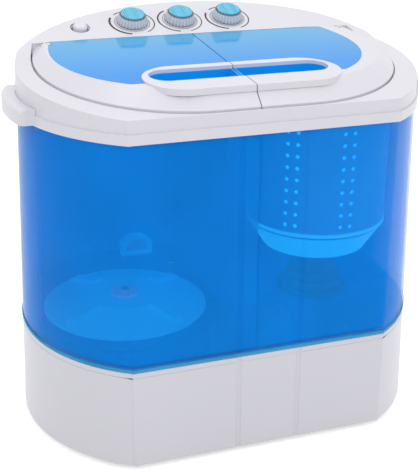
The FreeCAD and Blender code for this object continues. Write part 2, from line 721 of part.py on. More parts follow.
def top_cover():
    depth = POCKET_DEPTH
    outer = roofed(COVER_PROUD, 0.0)
    cavity = roofed(COVER_PROUD - WALL, WALL)
    below = box(-FAR, FAR, -FAR, FAR, 0, COLLAR_TOP + 0.5)
    cavity = cavity.fuse(body_solid(COLLAR_TOP - 1, COLLAR_TOP + 1, COVER_PROUD - WALL))
    behind = hinge_round(HINGE_RADIUS + HINGE_GAP)
    pocket_inside = pocket(LID_GAP, depth).common(behind)
    behind_wall = hinge_round(HINGE_RADIUS + HINGE_GAP + WALL)
    pocket_outside = pocket(LID_GAP + WALL, depth + SHELF_THICK).common(behind_wall)
    shell = outer.cut(cavity.cut(pocket_outside))
    shell = shell.cut(below.cut(body_solid(COLLAR_TOP - 1, COLLAR_TOP + 2, COVER_PROUD + 1)))
    wash_mouth = on_lid_plane(lid_prism(-40, 20, WASH_MOUTH_INSET))
    wash_mouth = wash_mouth.common(box(-FAR, DIVIDER_X - BRIDGE_HALF, -FAR, HINGE_Y - 16, 0, FAR))
    spin_mouth = cylinder(*SPIN_CENTRE, SHELL_TOP, TALL, BASKET_MOUTH + 8)
    panel_seat = on_panel(panel_prism(0.0, -PANEL_THICK, 30.0))
    panel_opening = on_panel(panel_prism(7.0, -30.0, 30.0))
    panel_opening = panel_opening.common(box(-FAR, FAR, SWITCH_SPACE_Y, FAR, 0, FAR))
    inlet_hole = on_panel(cylinder(0, 0, -30, 30, INLET_WELL), INLET_X, INLET_Y)
    solid = shell.cut([pocket_inside, wash_mouth, spin_mouth])
    solid = united([solid] + [hinge_lug(side) for side in (-1, 1)])
    solid = solid.cut([panel_seat, panel_opening]).cut(inlet_hole).cut(band_screw_holes())
    return max(solid.Solids, key=lambda s: s.Volume)


def hinge_lug(side):
    """A rounded lug on the pocket's rear wall that carries one end of the hinge rod."""
    x0 = side * LUG_X - LUG_WIDTH / 2
    x1 = x0 + LUG_WIDTH
    knuckle = rod_along_x(x0, x1, HINGE_Y, HINGE_Z, LUG_RADIUS)
    reach = HINGE_RADIUS + HINGE_GAP + 1
    web = box(x0, x1, HINGE_Y - LUG_RADIUS, HINGE_Y + LUG_RADIUS, HINGE_Z - reach, HINGE_Z)
    tie = box(x0, x1, HINGE_Y, HINGE_Y + reach, HINGE_Z - reach, HINGE_Z)
    bore = rod_along_x(x0 - 1, x1 + 1, HINGE_Y, HINGE_Z, ROD_RADIUS)
    return united([knuckle, web, tie]).cut(bore)


def control_panel():
    plate = on_panel(panel_prism(0.0, -PANEL_THICK, 0.0))
    holes = [on_panel(cylinder(0, 0, -9, 9, KNOB_SHAFT + 1), x, KNOB_Y) for x in KNOB_XS]
    holes.append(on_panel(cylinder(0, 0, -9, 9, INLET_WELL), INLET_X, INLET_Y))
    return plate.cut(holes)


def inlet_funnel():
    """The water inlet: a spigot in a round well, and its pipe down into the wash tub."""
    lip = tube(0, 0, -12, -PANEL_THICK, INLET_WELL, INLET_WELL - 1.5)
    floor = tube(0, 0, -12, -10.5, INLET_WELL, INLET_BORE)
    pipe = tube(0, 0, -56, 1.5, INLET_RADIUS, INLET_BORE)
    return on_panel(united([lip, floor, pipe]), INLET_X, INLET_Y)


def inlet_cap():
    """The push-on cap that keeps dirt out of the inlet spigot."""
    top = turned(0, 0, [(0, 1.5), (INLET_RADIUS + 1.6, 1.5), (INLET_RADIUS, 4.0), (0, 5.0)])
    rim = tube(0, 0, -4, 1.5, INLET_RADIUS + 1.6, INLET_RADIUS)
    return on_panel(united([top, rim]), INLET_X, INLET_Y)


def switch_cover():
    """The plate that closes the switch space from the wet side."""
    edge = RIB_PROUD - RIB_THICK - FIT_GAP
    plate = body_solid(SWITCH_FLOOR_Z, SWITCH_FLOOR_Z + 2, edge)
    plate = plate.common(box(-FAR, FAR, SWITCH_SPACE_Y, FAR, 0, FAR))
    hole = on_panel(cylinder(0, 0, -90, 0, INLET_RADIUS + FIT_GAP), INLET_X, INLET_Y)
    return plate.cut(hole)


SWITCH_BODIES = {
    "wash_timer_body": (0, 21.0, 24.0),
    "selector_switch_body": (1, 16.0, 18.0),
    "spin_timer_body": (2, 21.0, 24.0),
}


def switch_body(index, radius, depth):
    top = -PANEL_THICK
    case = cylinder(0, 0, top - depth, top, radius)
    ears = box(-radius - 6, radius + 6, -6, 6, top - 2, top)
    terminals = [box(s * 6 - 1, s * 6 + 1, -3, 3, top - depth - 7, top - depth) for s in (-1, 1)]
    bore = cylinder(0, 0, top - depth + 4, top + 1, KNOB_SHAFT + RUNNING_GAP)
    solid = united([case, ears] + terminals).cut(bore)
    return on_panel(solid, KNOB_XS[index], KNOB_Y)


def knob_shaft(index, depth):
    shaft = cylinder(0, 0, -PANEL_THICK - depth + 5, KNOB_HEIGHT - 3, KNOB_SHAFT)
    return on_panel(shaft, KNOB_XS[index], KNOB_Y)


KNOB_RIBS = 12
KNOB_CLEAR = 1.0


def knob(index):
    """The grey-white grip skirt, with finger ribs round it and a seat for the cap."""
    profile = [(0, KNOB_CLEAR), (KNOB_RADIUS, KNOB_CLEAR), (KNOB_RADIUS, KNOB_CLEAR + 2)]
    profile += [(CAP_RADIUS + 1.2, KNOB_HEIGHT), (0, KNOB_HEIGHT)]
    skirt = turned(0, 0, profile)
    ribs = []
    for i in range(KNOB_RIBS):
        rib = box(0, KNOB_RADIUS - 0.6, -1.3, 1.3, KNOB_CLEAR, KNOB_HEIGHT - 1.5)
        rib.rotate(V(0, 0, 0), UP, i * 360 / KNOB_RIBS)
        ribs.append(rib)
    seat = cylinder(0, 0, KNOB_HEIGHT - 1, KNOB_HEIGHT + 9, CAP_RADIUS)
    bore = cylinder(0, 0, -9, KNOB_HEIGHT - 3, KNOB_SHAFT)
    return on_panel(united([skirt] + ribs).cut([seat, bore]), KNOB_XS[index], KNOB_Y)


def knob_cap(index):
    """The light blue ribbed disc in the top of a knob."""
    disc = cylinder(0, 0, KNOB_HEIGHT - 1, KNOB_HEIGHT - 1 + CAP_THICK, CAP_RADIUS)
    grooves = []
    for i in range(-4, 5):
        x = i * CAP_RADIUS / 5
        top = KNOB_HEIGHT - 1 + CAP_THICK
        grooves.append(box(x - 0.5, x + 0.5, -CAP_RADIUS, CAP_RADIUS, top - 0.7, top + 1))
    return on_panel(disc.cut(grooves), KNOB_XS[index], KNOB_Y)


def lid_switch():
    """The microswitch under the panel that senses the spin lid."""
    case = box(-10, 10, -6, 6, -PANEL_THICK - 18, -PANEL_THICK)
    return on_panel(case, PANEL_FRONT_HALF - 32, 30.0)


# ---- Wash tub fittings and drive -------------------------------------------------------------

PULSATOR_Z = TUB_FLOOR + 3.0
DISC_Z = TUB_FLOOR + 20.0
PULSATOR_THICK = 3.0
VANES = 4
CAP_R = 20.0
PULSATOR_SCREW = 3.0
HOUSING_FLANGE = 30.0
HOUSING_BOTTOM = PULLEY_Z + PULLEY_HEIGHT + 3


def pulsator():
    thick = PULSATOR_THICK
    profile = [
        (WASH_SHAFT, DISC_Z - thick - 5),
        (WASH_SHAFT, DISC_Z),
        (PULSATOR_DISC, DISC_Z),
        (PULSATOR_DISC + 6, DISC_Z - 3),
        (PULSATOR_RADIUS - 2, PULSATOR_Z + 4),
        (PULSATOR_RADIUS, PULSATOR_Z + 3),
        (PULSATOR_RADIUS, PULSATOR_Z),
        (PULSATOR_RADIUS - 3, PULSATOR_Z),
        (PULSATOR_DISC + 4, DISC_Z - 3 - thick),
        (PULSATOR_DISC, DISC_Z - thick),
        (WASH_SHAFT + 6, DISC_Z - thick),
        (WASH_SHAFT + 6, DISC_Z - thick - 5),
    ]
    dish = turned(0, 0, profile)
    vanes = []
    for i in range(VANES):
        points = (
            V(PULSATOR_DISC - 1, 0, DISC_Z - 2.5),
            V(PULSATOR_RADIUS - 5, 0, PULSATOR_Z + 3),
            V(PULSATOR_RADIUS - 12, 0, PULSATOR_Z + 12),
            V(PULSATOR_DISC + 4, 0, DISC_Z + 3),
        )
        vane = Part.Face(Part.makePolygon(points + points[:1])).extrude(V(0, 14, 0))
        vane.translate(V(0, -7, 0))
        vane.rotate(V(0, 0, 0), UP, 30 + i * 360 / VANES)
        vanes.append(vane)
    solid = united([dish] + vanes)
    solid.translate(V(WASH_CENTRE[0], WASH_CENTRE[1], 0))
    return solid


def pulsator_cap():
    hole = PULSATOR_SCREW
    profile = [(hole, DISC_Z), (CAP_R, DISC_Z), (CAP_R - 2, DISC_Z + 3), (hole, DISC_Z + 4.5)]
    return turned(*WASH_CENTRE, profile)


def pulsator_screw():
    shank = cylinder(*WASH_CENTRE, DISC_Z - 12, DISC_Z + 4.5, PULSATOR_SCREW)
    head = cylinder(*WASH_CENTRE, DISC_Z + 4.5, DISC_Z + 7, PULSATOR_SCREW + 2.5)
    x, y = WASH_CENTRE
    slot = box(x - 6, x + 6, y - 0.6, y + 0.6, DISC_Z + 6, DISC_Z + 9)
    return shank.fuse(head).removeSplitter().cut(slot)


def pulsator_shaft():
    shaft = cylinder(*WASH_CENTRE, PULLEY_Z, DISC_Z, WASH_SHAFT)
    return shaft.cut(cylinder(*WASH_CENTRE, DISC_Z - 12, DISC_Z + 1, PULSATOR_SCREW))


def bearing_housing():
    floor_z = TUB_FLOOR - SHELL_WALL
    flange = cylinder(*WASH_CENTRE, floor_z - 3, floor_z, HOUSING_FLANGE)
    sleeve = cylinder(*WASH_CENTRE, HOUSING_BOTTOM, TUB_FLOOR, SEAL_BORE)
    bore = cylinder(*WASH_CENTRE, 0, 300, WASH_SHAFT + RUNNING_GAP)
    seal_seat = cylinder(*WASH_CENTRE, TUB_FLOOR - 8, TUB_FLOOR + 1, SEAL_BORE - 4)
    return flange.fuse(sleeve).removeSplitter().cut([bore, seal_seat])


def shaft_seal():
    bore = WASH_SHAFT + RUNNING_GAP
    return tube(*WASH_CENTRE, TUB_FLOOR - 8, TUB_FLOOR + 1, SEAL_BORE - 4, bore)


def pulley(x, y, radius, bore):
    """A flat-belt pulley: a narrow rim between two thin flanges."""
    top = PULLEY_Z + PULLEY_HEIGHT
    profile = [
        (bore, PULLEY_Z),
        (radius + 4, PULLEY_Z),
        (radius + 4, PULLEY_Z + 1.5),
        (radius, PULLEY_Z + 1.5),
        (radius, top - 1.5),
        (radius + 4, top - 1.5),
        (radius + 4, top),
        (bore, top),
    ]
    return turned(x, y, profile)


def belt_loop(gap, z0, z1):
    """The space inside a belt that lies gap outside both pulley rims."""
    x0, y0 = WASH_CENTRE
    x1, y1 = WASH_MOTOR_AT
    r0 = DRIVEN_RADIUS + gap
    r1 = MOTOR_PULLEY_RADIUS + gap
    span = math.hypot(x1 - x0, y1 - y0)
    heading = math.atan2(y1 - y0, x1 - x0)
    lean = math.acos((r0 - r1) / span)
    corners = []
    for x, y, r, side in ((x0, y0, r0, 1), (x1, y1, r1, 1), (x1, y1, r1, -1), (x0, y0, r0, -1)):
        angle = heading + side * lean
        corners.append(V(x + r * math.cos(angle), y + r * math.sin(angle), z0))
    middle = Part.Face(Part.makePolygon(corners + corners[:1])).extrude(V(0, 0, z1 - z0))
    return united([middle, cylinder(x0, y0, z0, z1, r0), cylinder(x1, y1, z0, z1, r1)])


BELT_THICK = 2.5


def drive_belt():
    low = PULLEY_Z + 2
    high = PULLEY_Z + PULLEY_HEIGHT - 2
    outer = belt_loop(FIT_GAP + BELT_THICK, low, high)
    return outer.cut(belt_loop(FIT_GAP, low - 1, high + 1))


MOTOR_WALL = 3.0
WASH_CASE_TOP = PULLEY_Z - 8
AIR_GAP = 0.6


def motor_case(x, y, z0, z1, radius, shaft, rotor):
    """A motor's stator and end shields round a hollow for the rotor."""
    case = cylinder(x, y, z0, z1, radius)
    rotor_space = cylinder(x, y, z0 + 8, z1 - 8, rotor + AIR_GAP)
    bore = cylinder(x, y, z0 + 3, z1 + 1, shaft + RUNNING_GAP)
    return case.cut([rotor_space, bore])


WASH_MOTOR_SHAFT = 4.0
WASH_ROTOR = 22.0


def wash_motor_case():
    z0, z1 = BRACKET_Z + BRACKET_THICK, WASH_CASE_TOP
    return motor_case(*WASH_MOTOR_AT, z0, z1, WASH_MOTOR_RADIUS, WASH_MOTOR_SHAFT, WASH_ROTOR)


def wash_motor_rotor():
    z0 = BRACKET_Z + BRACKET_THICK
    rotor = cylinder(*WASH_MOTOR_AT, z0 + 9, WASH_CASE_TOP - 9, WASH_ROTOR)
    shaft = cylinder(*WASH_MOTOR_AT, z0 + 4, PULLEY_Z + PULLEY_HEIGHT, WASH_MOTOR_SHAFT)
    return rotor.fuse(shaft).removeSplitter()


def wash_motor_bracket():
    x, y = WASH_MOTOR_AT
    reach = BRACKET_REACH + 7
    plate = box(x - reach, x + reach, y - reach, y + reach, BRACKET_Z, BRACKET_Z + BRACKET_THICK)
    holes = [cylinder(a, b, 0, 99, FASTENER_RADIUS) for a, b in bracket_screw_places()]
    return plate.cut(holes)


FILTER_X = -70.0
FILTER_HALF = 24.0
FILTER_DEPTH = 16.0
FILTER_HEIGHT = 34.0


def filter_frame():
    """The rounded lint filter box on the wash tub's back wall."""
    back = rear_wall_y(TUB_FLOOR + FILTER_HEIGHT) - SHELL_WALL - 1.0
    x0, x1 = FILTER_X - FILTER_HALF, FILTER_X + FILTER_HALF
    low = box(x0, x1, back - FILTER_DEPTH, back, TUB_FLOOR, TUB_FLOOR + FILTER_HEIGHT - 14)
    crown = rod_along_y(FILTER_X, back - FILTER_DEPTH, back, TUB_FLOOR + 6, FILTER_HALF + 2)
    crown = crown.common(box(x0, x1, -FAR, FAR, TUB_FLOOR, FAR))
    solid = united([low, crown])
    window = rod_along_y(FILTER_X, -FAR, back - 3, TUB_FLOOR + 8, FILTER_HALF - 6)
    window = window.common(box(x0, x1, -FAR, FAR, TUB_FLOOR + 3, FAR))
    return solid.cut(window)


def filter_net():
    back = rear_wall_y(TUB_FLOOR + FILTER_HEIGHT) - SHELL_WALL - 4.0
    disc = rod_along_y(FILTER_X, back - 1.5, back, TUB_FLOOR + 8, FILTER_HALF - 6)
    return disc.common(box(-FAR, FAR, -FAR, FAR, TUB_FLOOR + 3, FAR))


# ---- Spin tub fittings and drive -------------------------------------------------------------

SPIN_PLATE_Z = 26.0
SPIN_PLATE_THICK = 3.0
SPIN_CASE_TOP = 104.0
SPIN_ROTOR = 28.0
DRUM_Z0 = 112.0
DRUM_Z1 = 126.0
SPRING_REACH = 40.0
SPRING_RADIUS = 9.0
BOOT_FLANGE = 50.0
BOOT_TOP = BASKET_BOTTOM - 6
BOOT_TOP_RADIUS = 20.0
LEVER_ANGLE = 210.0


def spin_motor_case():
    z0 = SPIN_PLATE_Z + SPIN_PLATE_THICK
    return motor_case(*SPIN_CENTRE, z0, SPIN_CASE_TOP, SPIN_MOTOR_RADIUS, SPIN_SHAFT, SPIN_ROTOR)


def spin_rotor_shaft():
    z0 = SPIN_PLATE_Z + SPIN_PLATE_THICK
    rotor = cylinder(*SPIN_CENTRE, z0 + 9, SPIN_CASE_TOP - 9, SPIN_ROTOR)
    shaft = cylinder(*SPIN_CENTRE, z0 + 4, BASKET_BOTTOM + 24, SPIN_SHAFT)
    return rotor.fuse(shaft).removeSplitter()


def spring_places():
    x, y = SPIN_CENTRE
    turns = [math.radians(90 + i * 120) for i in range(3)]
    return [(x + SPRING_REACH * math.cos(a), y + SPRING_REACH * math.sin(a)) for a in turns]


def spin_motor_plate():
    z1 = SPIN_PLATE_Z + SPIN_PLATE_THICK
    disc = cylinder(*SPIN_CENTRE, SPIN_PLATE_Z, z1, SPIN_MOTOR_RADIUS + 8)
    post_x, post_y = lever_pivot()
    arm = cylinder(post_x, post_y, SPIN_PLATE_Z, z1, 8)
    x, y = SPIN_CENTRE
    half = 8.0
    length = math.hypot(post_x - x, post_y - y)
    bridge = box(0, length, -half, half, SPIN_PLATE_Z, z1)
    bridge.rotate(V(0, 0, 0), UP, math.degrees(math.atan2(post_y - y, post_x - x)))
    bridge.translate(V(x, y, 0))
    post = cylinder(post_x, post_y, z1 - 1, DRUM_Z0 + 1, 5)
    pin = cylinder(post_x, post_y, DRUM_Z0, DRUM_Z1 - 2, 3)
    return united([disc, arm, bridge, post, pin])


def spin_spring_mounts():
    """Three spring columns that carry the spin motor's plate."""
    solids = []
    for x, y in spring_places():
        height = SPIN_PLATE_Z - PLATE_TOP
        rings = 4
        step = height / rings
        profile = [(2.0, PLATE_TOP)]
        for i in range(rings):
            z = PLATE_TOP + i * step
            profile.append((SPRING_RADIUS - 2, z))
            profile.append((SPRING_RADIUS, z + step / 2))
        profile += [(SPRING_RADIUS - 2, SPIN_PLATE_Z), (2.0, SPIN_PLATE_Z)]
        solids.append(turned(x, y, profile))
    return Part.makeCompound(solids)


def spin_boot():
    """The rubber bellows from the tub floor up to the basket's shaft."""
    folds = 5
    low = TUB_FLOOR
    step = (BOOT_TOP - low - 4) / folds
    outer = [(BOOT_FLANGE, low), (BOOT_FLANGE, low + 3)]
    inner = [(BOOT_BORE - 3, low)]
    for i in range(folds):
        share = i / (folds - 1)
        radius = BOOT_BORE + share * (BOOT_TOP_RADIUS + 4 - BOOT_BORE)
        z = low + 3 + i * step
        outer += [(radius, z + 1), (radius + 3, z + step / 2)]
        inner += [(radius - 3, z), (radius, z + step / 2)]
    outer += [(BOOT_TOP_RADIUS, BOOT_TOP), (SPIN_SHAFT + 1, BOOT_TOP)]
    inner += [(BOOT_TOP_RADIUS - 3, BOOT_TOP - 3), (SPIN_SHAFT + 1, BOOT_TOP - 3)]
    profile = outer + inner[::-1]
    return turned(*SPIN_CENTRE, profile)


def basket_profile():
    wall = BASKET_WALL
    outer = BASKET_RADIUS
    foot = BASKET_FOOT_RADIUS
    top = BASKET_TOP
    return [
        (SPIN_SHAFT, BASKET_BOTTOM),
        (foot, BASKET_BOTTOM),
        (outer - 3, BASKET_SHOULDER - 8),
        (outer - 1, BASKET_SHOULDER - 4),
        (outer + 1.2, BASKET_SHOULDER - 2),
        (outer + 1.2, BASKET_SHOULDER + 2),
        (outer, BASKET_SHOULDER + 4),
        (outer, top),
        (BASKET_MOUTH, top),
        (BASKET_MOUTH, top - wall),
        (outer - wall, top - wall),
        (outer - wall, BASKET_SHOULDER - 4),
        (outer - 3 - wall, BASKET_SHOULDER - 6),
        (foot - 1, BASKET_BOTTOM + wall),
        (SPIN_SHAFT + 10, BASKET_BOTTOM + wall),
        (SPIN_SHAFT + 10, BASKET_BOTTOM + 16),
        (SPIN_SHAFT, BASKET_BOTTOM + 16),
    ]


def spin_basket():
    basket = turned(0, 0, basket_profile())
    pitch = (BASKET_TOP - BASKET_SHOULDER - 2 * HOLE_MARGIN) / (HOLE_ROWS - 1)
    holes = []
    for group in range(HOLE_GROUPS):
        for column in (-1, 1):
            turn = group * 360 / HOLE_GROUPS + column * 4.2
            for row in range(HOLE_ROWS):
                z = BASKET_SHOULDER + HOLE_MARGIN + row * pitch
                hole = rod_along_x(BASKET_RADIUS - 6, BASKET_RADIUS + 6, 0, z, HOLE_RADIUS)
                hole.rotate(V(0, 0, 0), UP, turn)
                holes.append(hole)
    basket = basket.cut(holes)
    basket.translate(V(SPIN_CENTRE[0], SPIN_CENTRE[1], 0))
    return basket


def basket_nut():
    z0 = BASKET_BOTTOM + 16
    x, y = SPIN_CENTRE
    corners = []
    for i in range(6):
        a = math.radians(60 * i)
        corners.append(V(x + 13 * math.cos(a), y + 13 * math.sin(a), z0))
    nut = Part.Face(Part.makePolygon(corners + corners[:1])).extrude(V(0, 0, 8))
    return nut.cut(cylinder(x, y, z0 - 1, z0 + 9, SPIN_SHAFT))


def brake_drum():
    return tube(*SPIN_CENTRE, DRUM_Z0, DRUM_Z1, DRUM_RADIUS, SPIN_SHAFT)


def basket_cover():
    """The lift-off disc that keeps the laundry in the basket."""
    low = BASKET_TOP + FIT_GAP
    profile = [(0, low - 4), (BASKET_MOUTH - 3, low - 4), (BASKET_MOUTH - 3, low)]
    profile += [(BASKET_MOUTH + 6, low), (BASKET_MOUTH + 6, low + 2), (BASKET_MOUTH - 5, low + 2)]
    profile += [(BASKET_MOUTH - 5, low - 2), (0, low - 2)]
    disc = turned(0, 0, profile)
    holes = []
    for ring, count in ((30, 6), (55, 10)):
        for i in range(count):
            hole = cylinder(ring, 0, low - 9, low + 9, 4)
            hole.rotate(V(0, 0, 0), UP, i * 360 / count)
            holes.append(hole)
    knob_post = cylinder(0, 0, low - 3, low + 12, 9)
    solid = disc.cut(holes).fuse(knob_post).removeSplitter()
    solid.translate(V(SPIN_CENTRE[0], SPIN_CENTRE[1], 0))
    return solid


LEVER_PIVOT_REACH = 62.0
LEVER_REST = 52.0  # degrees between the lever and the drum's centre when the brake is off


def lever_pivot():
    a = math.radians(LEVER_ANGLE)
    x, y = SPIN_CENTRE
    return x + LEVER_PIVOT_REACH * math.cos(a), y + LEVER_PIVOT_REACH * math.sin(a)


def brake_lever():
    """The lever that presses its lined shoe on the drum; it turns on the plate's pin."""
    z0 = DRUM_Z0 + 1
    z1 = DRUM_Z1 - 3
    hub = tube(0, 0, z0, z1, 7, 3 + RUNNING_GAP)
    arm = box(5, LEVER_PIVOT_REACH * 0.9, -3, 3, z0, z1)
    arm = arm.cut(cylinder(0, 0, z0 - 1, z1 + 1, 6))
    solid = united([hub, arm])
    solid.rotate(V(0, 0, 0), UP, LEVER_ANGLE - 180 + LEVER_REST)
    post_x, post_y = lever_pivot()
    solid.translate(V(post_x, post_y, 0))
    return solid


# ---- Drain, capacitors, gland ----------------------------------------------------------------


def drain_manifold():
    """Two cups below the tub drains, joined by a cross pipe to the outlet."""
    floor_z = TUB_FLOOR - SHELL_WALL
    radius = DRAIN_RADIUS
    wall_y = rear_wall_y(DRAIN_Z) - WALL
    cups = []
    hollows = []
    for x in (WASH_DRAIN_X, SPIN_DRAIN_X):
        cups.append(cylinder(x, DRAIN_Y, DRAIN_Z - radius - 2, floor_z, radius + 2))
        hollows.append(cylinder(x, DRAIN_Y, DRAIN_Z - radius, floor_z + 1, DRAIN_HOLE + 1))
    cross = rod_along_x(WASH_DRAIN_X, SPIN_DRAIN_X, DRAIN_Y, DRAIN_Z, radius)
    outlet = rod_along_y(DRAIN_X, DRAIN_Y, wall_y - 4, DRAIN_Z, radius + 1)
    hollows.append(rod_along_x(WASH_DRAIN_X, SPIN_DRAIN_X, DRAIN_Y, DRAIN_Z, DRAIN_HOLE))
    hollows.append(rod_along_y(DRAIN_X, DRAIN_Y, wall_y, DRAIN_Z, DRAIN_HOLE))
    return united(cups + [cross, outlet]).cut(hollows)


def drain_spigot():
    wall_y = rear_wall_y(DRAIN_Z) - WALL
    shoulder_y = wall_y + WALL + 3
    pipe = rod_along_y(DRAIN_X, shoulder_y - 9, shoulder_y + DRAIN_REACH, DRAIN_Z, DRAIN_RADIUS)
    flange = rod_along_y(DRAIN_X, wall_y - 4, shoulder_y, DRAIN_Z, DRAIN_RADIUS + DRAIN_SHOULDER)
    bore = rod_along_y(DRAIN_X, wall_y - 9, wall_y + 99, DRAIN_Z, DRAIN_HOLE)
    return pipe.fuse(flange).removeSplitter().cut(bore)


def motor_capacitors():
    solids = []
    for y in (112.0, 150.0):
        can = rod_along_x(52, 112, y, PLATE_TOP + 16, 16)
        foot = box(56, 108, y - 8, y + 8, PLATE_TOP, PLATE_TOP + 6)
        solids.append(can.fuse(foot).removeSplitter())
    return Part.makeCompound(solids)


def cord_gland():
    wall_y = rear_wall_y(GLAND_Z)
    body = rod_along_y(GLAND_X, wall_y - WALL - 3, wall_y + 3, GLAND_Z, GLAND_RADIUS)
    outer = rod_along_y(GLAND_X, wall_y + 1, wall_y + 4, GLAND_Z, GLAND_RADIUS + 3)
    bore = rod_along_y(GLAND_X, wall_y - 20, wall_y + 20, GLAND_Z, 4)
    return body.fuse(outer).removeSplitter().cut(bore)


# ---- Build -----------------------------------------------------------------------------------


def all_parts():
    frames = lid_frames()
    windows = lid_windows()
    trays = lid_trays()
    parts = {
        "base_housing": base_housing(),
        "bottom_plate": bottom_plate(),
        "feet": feet(),
        "base_screws": base_screws(),
        "tub_shell": tub_shell(),
        "collar_band": collar_band(),
        "cover_screws": cover_screws(),
        "top_cover": top_cover(),
        "lid_hinge_rod": hinge_rod(),
        "control_panel": control_panel(),
        "switch_space_cover": switch_cover(),
        "water_inlet": inlet_funnel(),
        "inlet_cap": inlet_cap(),
        "lid_switch": lid_switch(),
        "pulsator": pulsator(),
        "pulsator_cap": pulsator_cap(),
        "pulsator_screw": pulsator_screw(),
        "pulsator_shaft": pulsator_shaft(),
        "driven_pulley": pulley(*WASH_CENTRE, DRIVEN_RADIUS, WASH_SHAFT),
        "bearing_housing": bearing_housing(),
        "shaft_seal": shaft_seal(),
        "drive_belt": drive_belt(),
        "motor_pulley": pulley(*WASH_MOTOR_AT, MOTOR_PULLEY_RADIUS, WASH_MOTOR_SHAFT),
        "wash_motor_rotor": wash_motor_rotor(),
        "wash_motor_case": wash_motor_case(),
        "wash_motor_bracket": wash_motor_bracket(),
        "lint_filter_frame": filter_frame(),
        "lint_filter_net": filter_net(),
        "spin_basket": spin_basket(),
        "basket_nut": basket_nut(),
        "spin_rotor_shaft": spin_rotor_shaft(),
        "brake_drum": brake_drum(),
        "basket_cover": basket_cover(),
        "brake_lever": brake_lever(),
        "spin_motor_case": spin_motor_case(),
        "spin_motor_plate": spin_motor_plate(),
        "spin_spring_mounts": spin_spring_mounts(),
        "spin_boot": spin_boot(),
        "drain_manifold": drain_manifold(),
        "drain_spigot": drain_spigot(),
        "motor_capacitors": motor_capacitors(),
        "cord_gland": cord_gland(),
    }
    for name, side in (("wash", -1), ("spin", 1)):
        parts[name + "_lid_frame"] = lid_frame(frames, side)
        parts[name + "_lid_window"] = window_of(windows, side)
        parts[name + "_lid_tray"] = trays.common(half_of_lid(side))
    for name, (index, radius, depth) in SWITCH_BODIES.items():
        stem = name.replace("_switch_body", "").replace("_body", "")
        parts[name] = switch_body(index, radius, depth)
        parts[stem + "_shaft"] = knob_shaft(index, depth)
        parts[stem + "_knob"] = knob(index)
        parts[stem + "_knob_cap"] = knob_cap(index)
    return parts


os.makedirs("parts", exist_ok=True)
for part_name, part_shape in all_parts().items():
    part_shape.exportStep("parts/" + part_name + ".step")
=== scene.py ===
"""Looks of a compact twin-tub washing machine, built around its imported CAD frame."""

import json
import math

import bmesh
import bpy
from mathutils import Matrix, Vector


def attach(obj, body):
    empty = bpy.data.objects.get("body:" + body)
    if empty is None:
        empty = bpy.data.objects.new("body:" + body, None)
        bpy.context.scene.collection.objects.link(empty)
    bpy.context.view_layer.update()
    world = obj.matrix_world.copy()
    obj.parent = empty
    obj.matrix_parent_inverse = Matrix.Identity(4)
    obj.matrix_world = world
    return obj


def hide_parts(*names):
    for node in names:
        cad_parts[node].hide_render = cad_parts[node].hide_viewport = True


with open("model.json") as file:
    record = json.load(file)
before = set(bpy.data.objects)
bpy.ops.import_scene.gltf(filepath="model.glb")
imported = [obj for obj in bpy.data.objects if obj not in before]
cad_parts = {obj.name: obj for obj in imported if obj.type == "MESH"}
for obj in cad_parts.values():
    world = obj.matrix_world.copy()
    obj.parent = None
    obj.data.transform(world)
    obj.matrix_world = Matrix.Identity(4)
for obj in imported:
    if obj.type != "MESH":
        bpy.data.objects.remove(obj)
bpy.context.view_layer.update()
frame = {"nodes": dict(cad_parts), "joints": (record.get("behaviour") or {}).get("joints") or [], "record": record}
NODES = frame["nodes"]
BODIES = frame["record"]["behaviour"]["bodies"]
BODY_OF = {node: body for body, nodes in BODIES.items() for node in nodes}
SLOT_OF = {entry["node"]: entry["material_slot"] for entry in frame["record"]["subparts"]}
MM = 0.001

# Places in the frame, in metres.
# SHELL_FOOT spans the painted highlight and painted shade at the shell's foot.
SHELL_FOOT = (0.140, 0.160)
SHELL_CLEAR_TO_SOLID = (-0.07, 0.06)
# PANE_FRONT_TO_REAR spans the panes' painted reflection.
PANE_FRONT_TO_REAR = (-0.08, 0.07)
# BASKET_WALL_TO_BEAD spans the basket's painted glow.
BASKET_WALL_TO_BEAD = (0.0930, 0.0966)

# The fluted knobs, in millimetres: each level is a crest radius, a valley radius and a height.
FLUTES = 28
POINTS_PER_FLUTE = 4
KNOB_LEVELS = ((22.0, 20.0, 1.0), (22.0, 20.0, 2.4), (18.0, 16.6, 12.2), (17.0, 16.4, 13.2))
CAP_SEAT_RADIUS = 15.9
CAP_SEAT_DEPTH = 1.4
KNOB_SHADE_HEIGHT = 14.0

# The printed dials, in millimetres.
INK_TOP = 0.12
INK_THICKNESS = 0.10
GREY_RING = (23.4, 24.8, 0, 360)
ARC_STEP_DEGREES = 6

# How an edge is told from a round face.
SAME_POINT = 0.02 * MM
FLAT_ANGLE = math.radians(0.4)
SHARP_ANGLE = math.radians(24)
BEVEL_ANGLE = math.radians(28)
FLUTE_ANGLE = math.radians(40)

# Stage levels.
WORLD_ON_OBJECT = 0.62
FLOOR_GLOW = 0.45


# ---- Shader node groups ----------------------------------------------------------------------


def joint_of(body):
    return next(joint for joint in frame["joints"] if joint["child"] == body)


def new_group(name, inputs, outputs):
    """An empty node group with number inputs and outputs of the named kinds."""
    group = bpy.data.node_groups.new(name, "ShaderNodeTree")
    for label, value in inputs:
        kind = "NodeSocketColor" if isinstance(value, tuple) else "NodeSocketFloat"
        socket = group.interface.new_socket(label, in_out="INPUT", socket_type=kind)
        socket.default_value = value
    for label, kind in outputs:
        group.interface.new_socket(label, in_out="OUTPUT", socket_type=kind)
    return group


def make(tree, kind, **values):
    node = tree.nodes.new(kind)
    for key, value in values.items():
        setattr(node, key, value)
    return node


def link(tree, source, out, target, into):
    tree.links.new(source.outputs[out], target.inputs[into])


